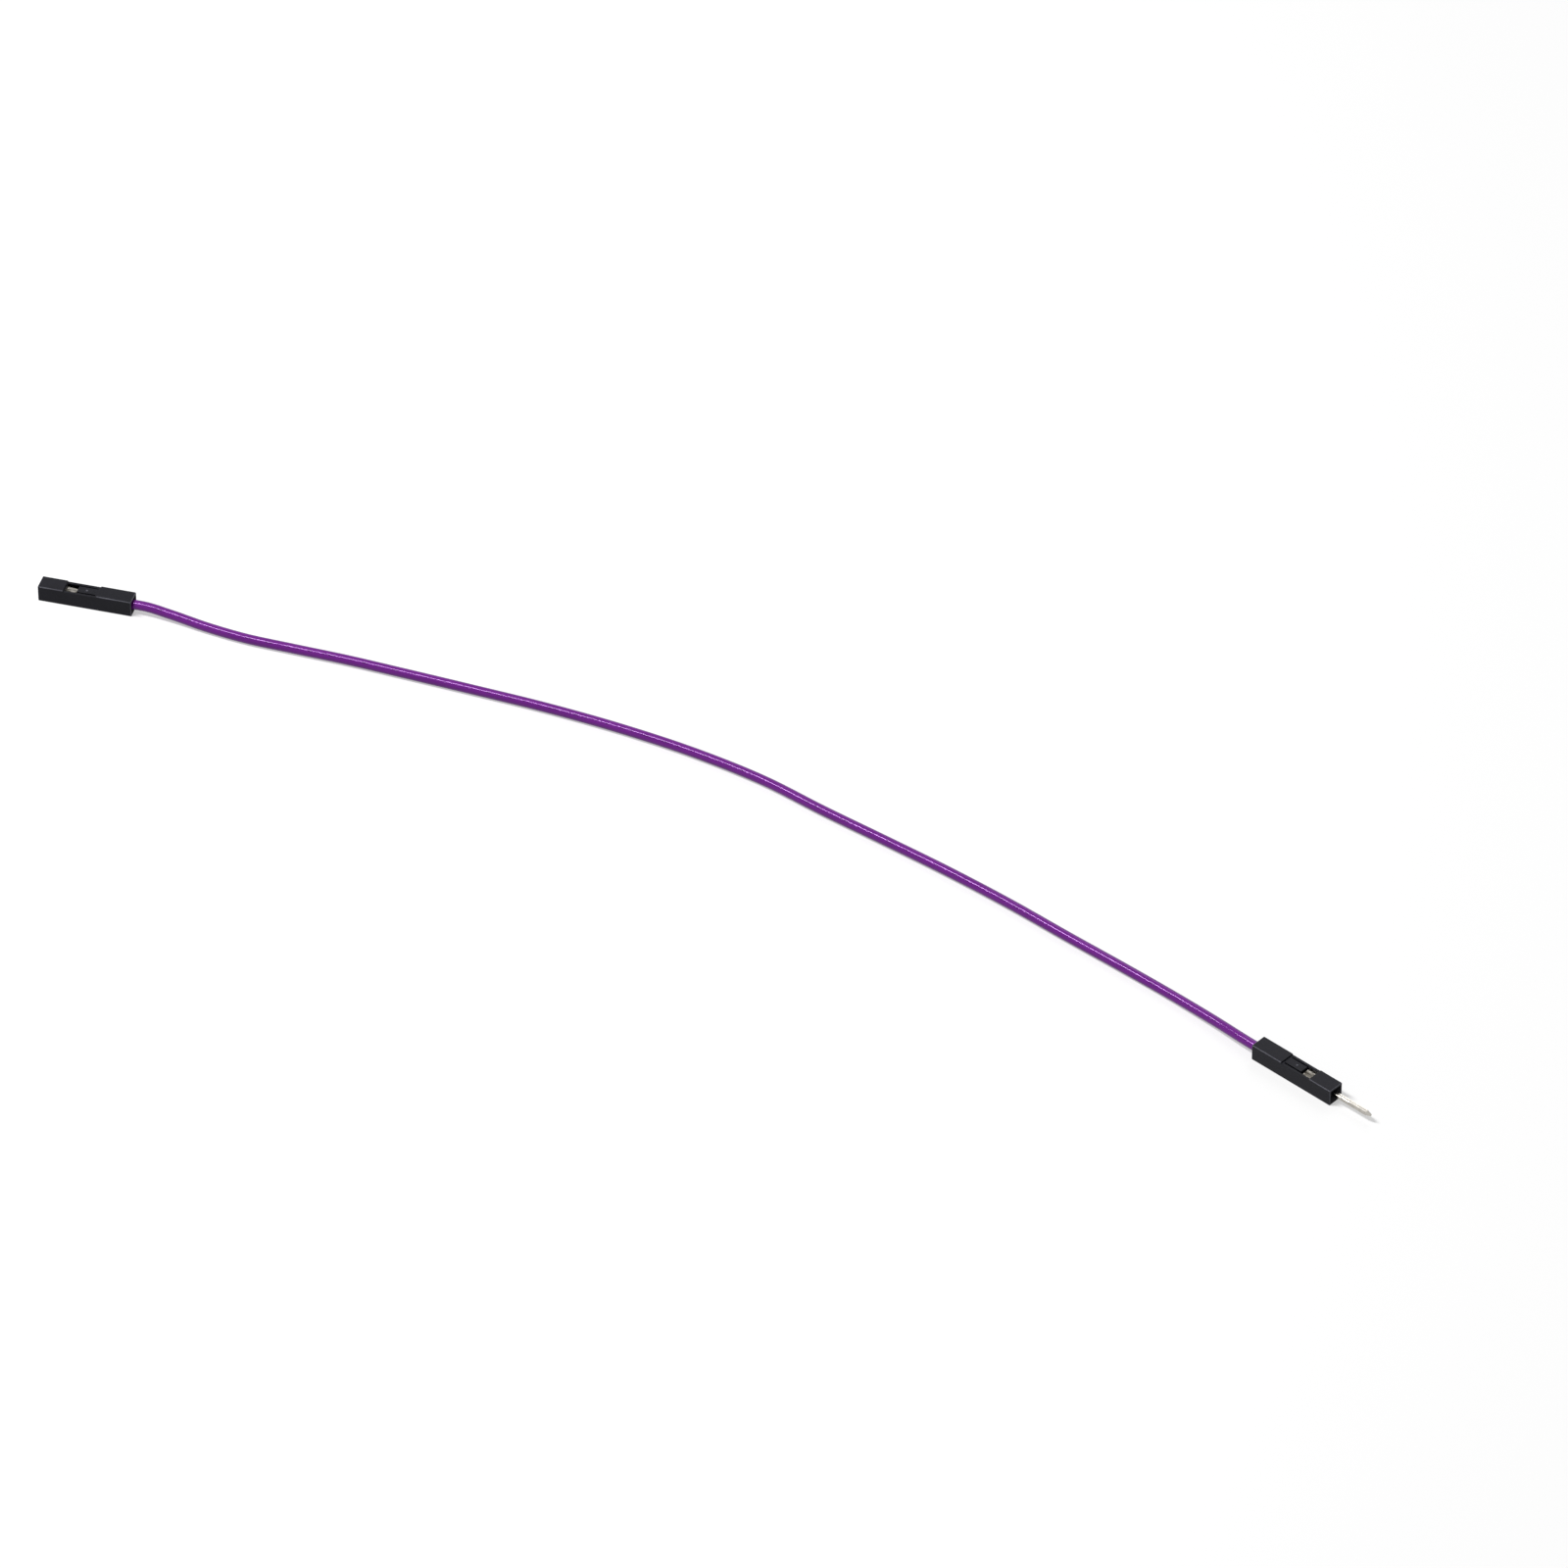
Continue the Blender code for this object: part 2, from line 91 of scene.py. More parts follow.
# Housing, from its mating face
PITCH = 2.54 * MM
AXIS_HEIGHT = PITCH / 2
HOUSING_LENGTH = 14.0 * MM
CAVITY_WIDTH = 1.90 * MM
CAVITY_START = 1.45 * MM
CAVITY_TOP = 0.75 * MM
REAR_CAVITY_START = 8.95 * MM
INSULATION_START = 10.67 * MM
WINDOW_START = 3.80 * MM
WINDOW_END = 5.70 * MM
RECESS_END = 8.80 * MM
LATCH_RECESS = 0.20 * MM
TONGUE_WIDTH = 1.30 * MM
TONGUE_ROOT = 0.30 * MM
OPENING_WIDTH = 1.74 * MM
BARB_DEPTH = 0.28 * MM
BARB_LENGTH = 1.10 * MM
BARB_WIDTH = 1.00 * MM
BARB_END_SHARE = 0.2
DIMPLE_DIAMETER = 0.36 * MM
DIMPLE_DEPTH = 0.08 * MM
DIMPLE_PLACE = 7.00 * MM
PIN_HOLE_WIDTH = 1.00 * MM
LEAD_IN_WIDTH = 2.06 * MM
LEAD_IN_DEPTH = 0.80 * MM
MOUTH_CHAMFER = 0.16 * MM
OUTER_RADIUS = 0.11 * MM
INNER_RADIUS = 0.04 * MM
EDGE_STEP = 0.12 * MM
CUT_PAST = 0.20 * MM
EDGE_SLOT = 1

# Terminals
SHEET_RADIUS = 0.025 * MM
PIN_THICKNESS = 0.64 * MM
PIN_REACH = 6.30 * MM
PIN_SEAM_WIDTH = 0.05 * MM
PIN_SEAM_DEPTH = 0.24 * MM
PIN_SEAM_START = 0.90 * MM
MERGE_DISTANCE = 0.001 * MM
FLAT_ANGLE = 1

# Corners sharper than the first are rounded, and those under the second are shaded smooth
ROUNDED_ANGLE = 50
SMOOTH_ANGLE = 35

# Purple PVC. Its grain and the lines left by the die are drawn coarser than real so that they show
PVC_DARK = "#5B1072"
PVC_LIGHT = "#751C8F"
PVC_HIGHLIGHT = "#DCA8F0"
DIE_LINE_LENGTH = 9.0 * MM
DIE_LINES_ROUND = 9
PVC_GRAIN_SIZE = 0.35 * MM
PVC_GRAIN_DEPTH = 0.02 * MM

# Ink on the PVC. The row's place and width are shares of the way round. A dash shows where a noise along the
# wire is over the first level, and is at its full strength from the second
INK = "#2A0A3C"
INK_COVER = 0.60
INK_PLACE = 0.30
INK_WIDTH = 0.045
INK_RUN = 26.0 * MM
INK_GAP = 5.0 * MM
DASH_LENGTH = 1.6 * MM
DASH_FROM = 0.50
DASH_FULL = 0.58

# Black nylon. Its spark-eroded grain is drawn coarser than real so that it shows
NYLON_DARK = "#09090F"
NYLON_LIGHT = "#1B1B23"
# The paler colour along the outer edges and in the dimple is partly edge wear and partly a painted highlight
NYLON_WEAR_AND_HIGHLIGHT = "#6C6C76"
NYLON_GLOSSIEST = 0.28
NYLON_DULLEST = 0.50
NYLON_POLISHED = 0.20
RUBBED_PATCH_SIZE = 2.6 * MM
NYLON_GRAIN_SIZE = 0.09 * MM
NYLON_GRAIN_DEPTH = 0.015 * MM

# Metals. The lines left by rolling are drawn coarser than real so that they show, and the stretch is their
# width over their length. The folded bodies are duller than the bright pin from wear, and are also painted
# darker as painted shade for their place inside the housings
COPPER_LIGHT = "#D88C62"
COPPER_DARK = "#A8613C"
COPPER_ROUGHNESS = 0.30
TIN_LIGHT = "#BFBBB4"
TIN_DARK = "#4A4640"
TIN_ROUGHNESS = 0.20
LINE_WIDTH = 0.10 * MM
LINE_STRETCH = 0.08
LINE_SHARE = 0.60
DULL_PATCH_SIZE = 0.75 * MM
DULL_FROM = 0.42
DULL_FULL = 0.54
SMOOTHER = 0.07
ROUGHER = 0.12
# Short of the bright start the metal is darker: partly wear, partly painted shade for lying inside the
# housings
BODY_WEAR_AND_SHADE = 1.35
BRIGHT_WEAR = 0.35
BRIGHT_FADE = 0.50 * MM
PAST_EVERY_PIECE = 1.0

# Studio
FLOOR_SIZE = 12
FLOOR_COLOUR = "#C6C6C6"
FLOOR_GLOW = 0.46
SURROUND_LIGHT = 0.20
WHITE = (1, 1, 1, 1)
LAMPS_TARGET = (0, 0.01, 0)
LONG_SOFTBOX = {"place": (-0.46, -0.30, 1.01), "size": (0.60, 0.16), "power": 12.0}
BACK_SOFTBOX = {"place": (-0.12, 0.86, 0.86), "size": (0.60, 0.60), "power": 1.7}


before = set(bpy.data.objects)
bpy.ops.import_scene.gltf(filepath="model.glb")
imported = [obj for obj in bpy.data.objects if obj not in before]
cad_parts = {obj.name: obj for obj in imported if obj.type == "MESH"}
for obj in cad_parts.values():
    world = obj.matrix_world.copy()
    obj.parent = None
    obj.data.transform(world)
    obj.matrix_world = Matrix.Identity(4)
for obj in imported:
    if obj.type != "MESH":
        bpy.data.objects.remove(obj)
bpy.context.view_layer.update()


# Camera


def back_from(azimuth, elevation):
    """The direction from the object to a viewer. Azimuth 0 looks along +Y."""
    a, e = math.radians(azimuth), math.radians(elevation)
    return Vector((math.sin(a) * math.cos(e), -math.cos(a) * math.cos(e), math.sin(e)))


def add_camera():
    """The camera that sees the wire as the photograph does."""
    data = bpy.data.cameras.new("photo_camera")
    data.lens = LENS
    data.sensor_width = SENSOR
    data.clip_end = VIEW_REACH
    camera = bpy.data.objects.new("photo_camera", data)
    bpy.context.scene.collection.objects.link(camera)
    back = back_from(VIEW_AZIMUTH, VIEW_ELEVATION)
    camera.location = Vector(VIEW_TARGET) + VIEW_DISTANCE * back
    camera.rotation_euler = back.to_track_quat("Z", "Y").to_euler()
    bpy.context.scene.camera = camera


# Modelling by hand: select, then use an operator


def deselect():
    bpy.ops.object.select_all(action="DESELECT")


def make_active(obj):
    deselect()
    obj.select_set(True)
    bpy.context.view_layer.objects.active = obj


def apply_place(obj):
    """Puts an object's place, turn and size into its mesh."""
    make_active(obj)
    bpy.ops.object.transform_apply(location=True, rotation=True, scale=True)


def add_box(name, low, high):
    """A box between two opposite corners."""
    deselect()
    low, high = Vector(low), Vector(high)
    bpy.ops.mesh.primitive_cube_add(size=1, location=(low + high) / 2, scale=high - low)
    made = bpy.context.active_object
    made.name = name
    apply_place(made)
    return made


def edit_faces(obj, test):
    """Opens an object in edit mode with the faces selected that pass a test on their centre and normal."""
    make_active(obj)
    mesh = obj.data
    for part in (mesh.vertices, mesh.edges, mesh.polygons):
        part.foreach_set("select", [False] * len(part))
    for face in mesh.polygons:
        face.select = test(face.center, face.normal)
    bpy.ops.object.mode_set(mode="EDIT")
    bpy.ops.mesh.select_mode(type="FACE")


def leave_edit():
    bpy.ops.object.mode_set(mode="OBJECT")


def resize_far_end(box, shares, centre):
    """Resizes a box's +X face about a centre, by shares of its width and height."""
    edit_faces(box, lambda middle, normal: normal.x > 0.9)
    bpy.ops.transform.resize(value=(1, *shares), center_override=centre)
    leave_edit()


def apply_modifier(obj, kind, **settings):
    make_active(obj)
    modifier = obj.modifiers.new(kind.lower(), kind)
    for name, value in settings.items():
        setattr(modifier, name, value)
    bpy.ops.object.modifier_apply(modifier=modifier.name)


def cut(obj, cutter, operation="DIFFERENCE"):
    """Cuts one solid out of another, or with UNION joins it on. The cutter is used up."""
    apply_modifier(obj, "BOOLEAN", operation=operation, solver="EXACT", object=cutter)
    bpy.data.objects.remove(cutter)


def smooth_flats(obj):
    """Smooth shading on rounded edges that leaves the flats between them flat."""
    make_active(obj)
    bpy.ops.object.shade_smooth_by_angle(angle=math.radians(SMOOTH_ANGLE))
    apply_modifier(obj, "WEIGHTED_NORMAL", weight=100, keep_sharp=True)


def put_in_place(obj, turn, place):
    """Takes what was modelled at the origin to its connector's place."""
    turned = Matrix.Rotation(math.radians(turn), 4, "Z")
    obj.matrix_world = Matrix.Translation(place) @ turned @ obj.matrix_world
    apply_place(obj)


def finish_piece(piece, material, node):
    """Gives a piece its finish, hangs it on the root body and hides the solid that it stands for."""
    piece.data.materials.clear()
    piece.data.materials.append(material)
    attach(piece, "root")
    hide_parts(node)


# Materials


def linear(hex_colour):
    """An sRGB hex colour as linear RGBA."""
    parts = [int(hex_colour[i:i + 2], 16) / 255 for i in (1, 3, 5)]
    return (*(c / 12.92 if c <= 0.04045 else ((c + 0.055) / 1.055) ** 2.4 for c in parts), 1.0)


def add_node(tree, kind, settings=None, values=None, links=None):
    """One node with its settings, its input values and the sockets that feed its inputs."""
    made = tree.nodes.new(kind)
    for name, value in (settings or {}).items():
        setattr(made, name, value)
    for name, value in (values or {}).items():
        made.inputs[name].default_value = value
    for name, source in (links or {}).items():
        tree.links.new(source, made.inputs[name])
    return made


def new_material(name, **values):
    """A material, its node tree and its shader, with values set on the shader's own sockets."""
    made = bpy.data.materials.new(name)
    made.use_nodes = True
    shader = made.node_tree.nodes["Principled BSDF"]
    for socket, value in values.items():
        shader.inputs[socket.replace("_", " ")].default_value = value
    return made, made.node_tree, shader


def pvc_material():
    """Extruded soft PVC: evenly coloured and slightly glossy, with purple in its highlights, faint lines
    left by the die and a row of worn ink dashes.
    """
    made, tree, shader = new_material(
        "extruded_purple_pvc", Roughness=0.15, IOR=1.53, Specular_IOR_Level=0.42,
        Specular_Tint=linear(PVC_HIGHLIGHT),
    )
    uv = add_node(tree, "ShaderNodeUVMap", {"uv_map": "UVMap"})
    place = add_node(tree, "ShaderNodeSeparateXYZ", links={"Vector": uv.outputs[0]})
    stretched = add_node(
        tree, "ShaderNodeMapping", values={"Scale": (WIRE_LENGTH / DIE_LINE_LENGTH, DIE_LINES_ROUND, 1)},
        links={"Vector": uv.outputs[0]},
    )
    drawn = add_node(
        tree, "ShaderNodeTexNoise", values={"Scale": 1.0, "Detail": 3.0},
        links={"Vector": stretched.outputs[0]},
    )
    tint = add_node(
        tree, "ShaderNodeMix", {"data_type": "RGBA"}, {6: linear(PVC_DARK), 7: linear(PVC_LIGHT)},
        {0: drawn.outputs["Fac"]},
    )
    inked = add_node(
        tree, "ShaderNodeMix", {"data_type": "RGBA"}, {7: linear(INK)},
        {0: ink_dashes(tree, place), 6: tint.outputs[2]},
    )
    tree.links.new(inked.outputs[2], shader.inputs["Base Color"])
    coordinates = add_node(tree, "ShaderNodeTexCoord")
    grain = add_node(
        tree, "ShaderNodeTexNoise", values={"Scale": 1 / PVC_GRAIN_SIZE, "Detail": 2.0},
        links={"Vector": coordinates.outputs["Object"]},
    )
    bump = add_node(
        tree, "ShaderNodeBump", values={"Strength": 0.06, "Distance": PVC_GRAIN_DEPTH},
        links={"Height": grain.outputs["Fac"]},
    )
    tree.links.new(bump.outputs[0], shader.inputs["Normal"])
    return made


def ink_dashes(tree, place):
    """How much ink there is: one row of worn dashes of uneven length, in runs with bare wire between."""
    along = add_node(
        tree, "ShaderNodeMath", {"operation": "MULTIPLY"}, {1: WIRE_LENGTH}, {0: place.outputs["X"]}
    )
    uneven = add_node(
        tree, "ShaderNodeTexNoise", {"noise_dimensions": "1D"}, {"Scale": 1 / DASH_LENGTH, "Detail": 2.0},
        {"W": along.outputs[0]},
    )
    dash = add_node(
        tree, "ShaderNodeMapRange", {"interpolation_type": "SMOOTHSTEP"},
        {"From Min": DASH_FROM, "From Max": DASH_FULL, "To Max": INK_COVER},
        {"Value": uneven.outputs["Fac"]},
    )
    row = add_node(
        tree, "ShaderNodeMath", {"operation": "COMPARE"}, {1: INK_PLACE, 2: INK_WIDTH / 2},
        {0: place.outputs["Y"]},
    )
    swing = add_node(
        tree, "ShaderNodeMath", {"operation": "PINGPONG"}, {1: INK_RUN}, {0: along.outputs[0]}
    )
    run = add_node(
        tree, "ShaderNodeMath", {"operation": "GREATER_THAN"}, {1: INK_GAP}, {0: swing.outputs[0]}
    )
    in_row = add_node(
        tree, "ShaderNodeMath", {"operation": "MULTIPLY"}, links={0: dash.outputs[0], 1: row.outputs[0]}
    )
    in_run = add_node(
        tree, "ShaderNodeMath", {"operation": "MULTIPLY"}, links={0: in_row.outputs[0], 1: run.outputs[0]}
    )
    return in_run.outputs[0]


def nylon_material():
    """Injection-moulded black nylon: satin, with the fine grain of a spark-eroded mould, paler and shinier
    along its edges and in the dimple. The shine is from handling; the paleness is partly edge wear and
    partly a painted highlight.
    """
    made, tree, shader = new_material(
        "moulded_black_nylon", Roughness=0.38, IOR=1.53, Specular_IOR_Level=0.11
    )
    coordinates = add_node(tree, "ShaderNodeTexCoord")
    rubbed = add_node(
        tree, "ShaderNodeTexNoise",
        values={"Scale": 1 / RUBBED_PATCH_SIZE, "Detail": 4.0, "Roughness": 0.6},
        links={"Vector": coordinates.outputs["Object"]},
    )
    tint = add_node(
        tree, "ShaderNodeMix", {"data_type": "RGBA"}, {6: linear(NYLON_DARK), 7: linear(NYLON_LIGHT)},
        {0: rubbed.outputs["Fac"]},
    )
    edge = add_node(tree, "ShaderNodeAttribute", {"attribute_name": "edge"})
    wear_and_painted_light = add_node(
        tree, "ShaderNodeMath", {"operation": "MULTIPLY"},
        links={0: edge.outputs["Fac"], 1: rubbed.outputs["Fac"]},
    )
    # Paler along the outer edges and in the dimple: partly edge wear, partly a painted highlight and glint
    wear_and_highlight_tint = add_node(
        tree, "ShaderNodeMix", {"data_type": "RGBA"}, {7: linear(NYLON_WEAR_AND_HIGHLIGHT)},
        {0: wear_and_painted_light.outputs[0], 6: tint.outputs[2]},
    )
    tree.links.new(wear_and_highlight_tint.outputs[2], shader.inputs["Base Color"])
    gloss = add_node(
        tree, "ShaderNodeMapRange", values={"To Min": NYLON_GLOSSIEST, "To Max": NYLON_DULLEST},
        links={"Value": rubbed.outputs["Fac"]},
    )
    polish = add_node(
        tree, "ShaderNodeMix", {"data_type": "FLOAT"}, {3: NYLON_POLISHED},
        {0: wear_and_painted_light.outputs[0], 2: gloss.outputs[0]},
    )
    tree.links.new(polish.outputs[0], shader.inputs["Roughness"])
    grain = add_node(
        tree, "ShaderNodeTexNoise", values={"Scale": 1 / NYLON_GRAIN_SIZE, "Detail": 2.0},
        links={"Vector": coordinates.outputs["Object"]},
    )
    bump = add_node(
        tree, "ShaderNodeBump", values={"Strength": 0.50, "Distance": NYLON_GRAIN_DEPTH},
        links={"Height": grain.outputs["Fac"]},
    )
    tree.links.new(bump.outputs[0], shader.inputs["Normal"])
    return made


def metal_material(name, light, dark, roughness, turn, bright_from=PAST_EVERY_PIECE):
    """Rolled and stamped metal: fine lines along a piece that is turned about Z, over duller, mottled
    places. Past a distance along that turned piece it is brighter; short of it, it is darker, partly from
    wear and partly as painted shade for lying inside a housing.
    """
    made, tree, shader = new_material(name, Metallic=1.0, Roughness=roughness)
    coordinates = add_node(tree, "ShaderNodeTexCoord")
    aligned = add_node(
        tree, "ShaderNodeMapping", {"vector_type": "TEXTURE"},
        {"Rotation": (0, 0, math.radians(turn)), "Scale": (1 / LINE_STRETCH, 1, 1)},
        {"Vector": coordinates.outputs["Object"]},
    )
    lines = add_node(
        tree, "ShaderNodeTexNoise", values={"Scale": 1 / LINE_WIDTH, "Detail": 3.0},
        links={"Vector": aligned.outputs[0]},
    )
    mottled = add_node(
        tree, "ShaderNodeTexNoise", values={"Scale": 1 / DULL_PATCH_SIZE, "Detail": 2.0},
        links={"Vector": coordinates.outputs["Object"]},
    )
    dull = add_node(
        tree, "ShaderNodeMapRange", {"interpolation_type": "SMOOTHSTEP"},
        {"From Min": DULL_FROM, "From Max": DULL_FULL}, {"Value": mottled.outputs["Fac"]},
    )
    marks = add_node(
        tree, "ShaderNodeMix", {"data_type": "FLOAT"}, {0: LINE_SHARE},
        {2: dull.outputs[0], 3: lines.outputs["Fac"]},
    )
    along = add_node(tree, "ShaderNodeSeparateXYZ", links={"Vector": aligned.outputs[0]})
    start, end = LINE_STRETCH * bright_from, LINE_STRETCH * (bright_from + BRIGHT_FADE)
    # Darker short of the bright start: partly wear, partly painted shade inside the housings
    wear_and_shade = add_node(
        tree, "ShaderNodeMapRange",
        values={"From Min": start, "From Max": end, "To Min": BODY_WEAR_AND_SHADE, "To Max": BRIGHT_WEAR},
        links={"Value": along.outputs["X"]},
    )
    wear_and_painted_light = add_node(
        tree, "ShaderNodeMath", {"operation": "MULTIPLY"}, links={0: marks.outputs[0], 1: wear_and_shade.outputs[0]}
    )
    tint = add_node(
        tree, "ShaderNodeMix", {"data_type": "RGBA"}, {6: linear(light), 7: linear(dark)},
        {0: wear_and_painted_light.outputs[0]},
    )
    tree.links.new(tint.outputs[2], shader.inputs["Base Color"])
    gloss = add_node(
        tree, "ShaderNodeMapRange", values={"To Min": roughness - SMOOTHER, "To Max": roughness + ROUGHER},
        links={"Value": wear_and_painted_light.outputs[0]},
    )
    tree.links.new(gloss.outputs[0], shader.inputs["Roughness"])
    return made


# Wire


def smooth_route(points, spacing):
    """Evenly spaced points on a smooth curve through the given ones."""
    points = np.array(points, float)
    steps = np.linalg.norm(np.diff(points, axis=0), axis=1)
    along = np.concatenate([[0], np.cumsum(steps)])
    slopes = np.gradient(points, along, axis=0)
    fine = np.linspace(0, along[-1], ROUTE_STEPS * len(points))
    which = np.clip(np.searchsorted(along, fine, side="right") - 1, 0, len(steps) - 1)
    length = steps[which][:, None]
    t = (fine - along[which])[:, None] / length
    curve = (
        (2 * t**3 - 3 * t**2 + 1) * points[which]
        + (t**3 - 2 * t**2 + t) * length * slopes[which]
        + (3 * t**2 - 2 * t**3) * points[which + 1]
        + (t**3 - t**2) * length * slopes[which + 1]
    )
    return resampled(curve, spacing)


def resampled(curve, spacing):
    """The same curve as evenly spaced points."""
    travelled = np.concatenate([[0], np.cumsum(np.linalg.norm(np.diff(curve, axis=0), axis=1))])
    wanted = np.linspace(0, travelled[-1], round(travelled[-1] / spacing) + 1)
    return np.array([np.interp(wanted, travelled, curve[:, k]) for k in range(3)]).T


def heading(turn):
    """The level direction that is turned this far from +X."""
    angle = math.radians(turn)
    return np.array([math.cos(angle), math.sin(angle), 0])


def wire_line(spacing, stripped):
    """The wire's centreline, from inside one housing to inside the other."""
    female, male = heading(FEMALE_TURN), heading(MALE_TURN)
    first = np.array([*FEMALE_EXIT, AXIS_HEIGHT])
    last = np.array([*MALE_EXIT, AXIS_HEIGHT])
    free = [first, first + LEAD_STRAIGHT * female, *ROUTE, last - LEAD_STRAIGHT * male, last]
    held = HOUSING_LENGTH - INSULATION_START + stripped
    line = np.vstack([first - held * female, smooth_route(free, spacing), last + held * male])
    return resampled(line, spacing)


def swept(name, line, diameter, sides):
    """A round tube along a line, as a mesh with its length along U and its girth along V."""
    curve = bpy.data.curves.new(name, "CURVE")
    curve.dimensions = "3D"
    curve.bevel_depth = diameter / 2
    curve.bevel_resolution = sides // 4 - 1 if sides > 4 else 0
    spline = curve.splines.new("POLY")
    spline.points.add(len(line) - 1)
    for point, place in zip(spline.points, line):
        point.co = (*place, 1)
    made = bpy.data.objects.new(name, curve)
    bpy.context.scene.collection.objects.link(made)
    make_active(made)
    bpy.ops.object.convert(target="MESH")
    made = bpy.context.active_object
    bpy.ops.object.shade_smooth()
    return made


def make_jacket(material):
    """The insulation: a tube with its real wall, open at both cut ends."""
    line = wire_line(JACKET_SPACING, 0)
    jacket = swept("wire_jacket", line, INSULATION_DIAMETER, JACKET_SIDES)
    wall = (INSULATION_DIAMETER - BORE_DIAMETER) / 2
    apply_modifier(jacket, "SOLIDIFY", thickness=wall, offset=-1)
    bpy.ops.object.shade_smooth_by_angle(angle=math.radians(JACKET_SMOOTH_ANGLE))
    finish_piece(jacket, material, "wire_insulation")
    return jacket, line


def make_strands(material):
    """Six strands twisted round a straight one."""
    line = wire_line(STRAND_SPACING, STRIP_LENGTH)
    along = np.gradient(line, axis=0)
    along /= np.linalg.norm(along, axis=1)[:, None]
    side = np.cross(along, (0, 0, 1))
    side /= np.linalg.norm(side, axis=1)[:, None]
    over = np.cross(side, along)
    twist = 2 * math.pi * STRAND_SPACING / STRAND_LAY * np.arange(len(line))[:, None]
    strands = [swept("wire_strands", line, STRAND_DIAMETER, STRAND_SIDES)]
    for i in range(STRAND_COUNT):
        angle = twist + 2 * math.pi * i / STRAND_COUNT
        around = STRAND_CIRCLE * (np.cos(angle) * side + np.sin(angle) * over)
        strands.append(swept(f"strand_{i}", line + around, STRAND_DIAMETER, STRAND_SIDES))
    for strand in strands:
        close_ends(strand)
    deselect()
    for strand in strands:
        strand.select_set(True)
    bpy.context.view_layer.objects.active = strands[0]
    bpy.ops.object.join()
    finish_piece(strands[0], material, "wire_conductor")
    return strands[0]


def close_ends(tube):
    """Caps a tube's two open rims."""
    make_active(tube)
    bpy.ops.object.mode_set(mode="EDIT")
    bpy.ops.mesh.select_mode(type="EDGE")
    bpy.ops.mesh.select_all(action="DESELECT")
    bpy.ops.mesh.select_non_manifold()
    bpy.ops.mesh.edge_face_add()
    leave_edit()


# Housings


def taper_box(start, end, start_width, end_width):
    """A square cutter along X that tapers from one width to another."""
    half = start_width / 2
    made = add_box("cutter", (start, -half, -half), (end, half, half))
    share = end_width / start_width
    resize_far_end(made, (share, share), (end, 0, 0))
    return made


def make_barb():
    """The wedge under the tongue's free end."""
    half = BARB_WIDTH / 2
    start = WINDOW_END + EDGE_STEP
    end = start + BARB_LENGTH
    tongue_middle = CAVITY_TOP + (AXIS_HEIGHT - LATCH_RECESS - CAVITY_TOP) / 2
    made = add_box("barb", (start, -half, CAVITY_TOP - BARB_DEPTH), (end, half, tongue_middle))
    resize_far_end(made, (1, BARB_END_SHARE), (end, 0, tongue_middle))
    return made


def make_dimple(housing, face_height):
    """The ball that leaves a shallow, shiny dimple in the tongue."""
    radius = (DIMPLE_DIAMETER**2 / 4 + DIMPLE_DEPTH**2) / (2 * DIMPLE_DEPTH)
    middle = (DIMPLE_PLACE, 0, face_height + radius - DIMPLE_DEPTH)
    deselect()
    bpy.ops.mesh.primitive_uv_sphere_add(segments=32, ring_count=24, radius=radius, location=middle)
    dimple = bpy.context.active_object
    apply_place(dimple)
    for material in housing.data.materials:
        dimple.data.materials.append(material)
    # The dimple joins the edge slot, where its paler colour is a painted glint
    for face in dimple.data.polygons:
        face.material_index = EDGE_SLOT
    return dimple


def cut_inside(housing, tongue_face):
    """Cuts the latch recess, the cavity, the window, the slits beside the tongue and the front hole."""
    half = PITCH / 2
    inner = CAVITY_WIDTH / 2
    opening = OPENING_WIDTH / 2
    tongue = TONGUE_WIDTH / 2
    hole = PIN_HOLE_WIDTH / 2
    behind = HOUSING_LENGTH + CUT_PAST
    slit_start = WINDOW_END - CUT_PAST
    slit_end = RECESS_END - TONGUE_ROOT
    boxes = [
        ((WINDOW_START, -PITCH, tongue_face), (RECESS_END, PITCH, PITCH)),
        ((CAVITY_START, -inner, -inner), (behind, inner, CAVITY_TOP)),
        ((REAR_CAVITY_START, -inner, 0), (behind, inner, inner)),
        ((WINDOW_START + EDGE_STEP, -opening, 0), (WINDOW_END, opening, half)),
        ((slit_start, -opening, 0), (slit_end, -tongue, half)),
        ((slit_start, tongue, 0), (slit_end, opening, half)),
        ((-CUT_PAST, -hole, -hole), (CAVITY_START + CUT_PAST, hole, hole)),
    ]
    for low, high in boxes:
        cut(housing, add_box("cutter", low, high))


def cut_mouths(housing):
    """Cuts the funnel that leads a pin in at the front, and the chamfer round the mouth at the back."""
    growth = (LEAD_IN_WIDTH - PIN_HOLE_WIDTH) * CUT_PAST / LEAD_IN_DEPTH
    funnel_end = LEAD_IN_DEPTH + CUT_PAST
    cut(housing, taper_box(-CUT_PAST, funnel_end, LEAD_IN_WIDTH + growth, PIN_HOLE_WIDTH - growth))
    chamfer_start = HOUSING_LENGTH - MOUTH_CHAMFER - CUT_PAST
    start_width = CAVITY_WIDTH - 2 * CUT_PAST
    end_width = start_width + 2 * (MOUTH_CHAMFER + 2 * CUT_PAST)
    cut(housing, taper_box(chamfer_start, HOUSING_LENGTH + CUT_PAST, start_width, end_width))


def split_down_middle(obj):
    """Splits the faces along Y = 0, so that none is left with a hole in it."""
    edit_faces(obj, lambda centre, normal: True)
    bpy.ops.mesh.bisect(plane_co=(0, 0, 0), plane_no=(0, 1, 0))
    leave_edit()


